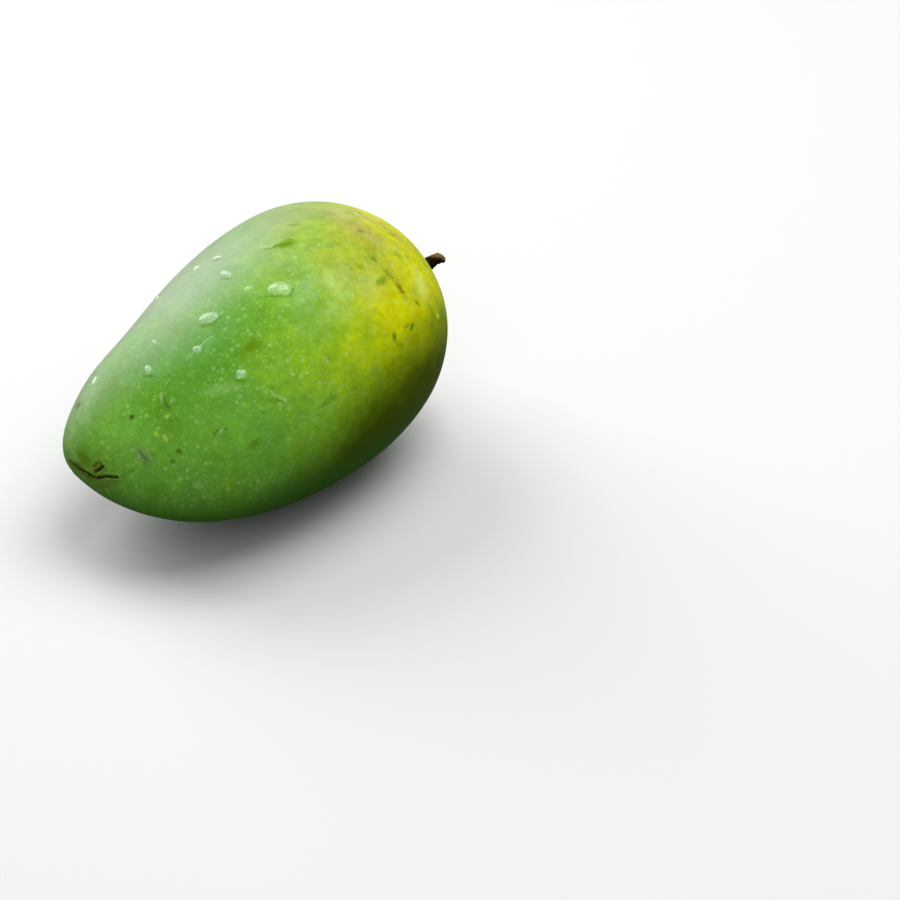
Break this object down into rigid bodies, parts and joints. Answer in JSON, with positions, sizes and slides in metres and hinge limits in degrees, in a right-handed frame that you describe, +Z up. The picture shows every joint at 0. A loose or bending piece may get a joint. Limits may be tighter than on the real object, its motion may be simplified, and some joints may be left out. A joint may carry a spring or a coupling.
{
  "type": "mango",
  "caption": "Whole green mango lying on its side, with the curved stub of its stalk at the thick end.",
  "frame": {"origin": "middle of the small flat spot under the fruit, on the surface that it rests on", "axes": "+X along the fruit towards its stalk, +Y towards its belly, where the hollow before the tip is, +Z up"},
  "size_m": [0.1428, 0.0925, 0.0794],
  "materials": {
    "skin": "waxy skin, satin",
    "stalk": "dry bark, matte"
  },
  "bodies": {
    "root": {"fruit": "skin", "stem": "stalk"}
  },
  "joints": []
}
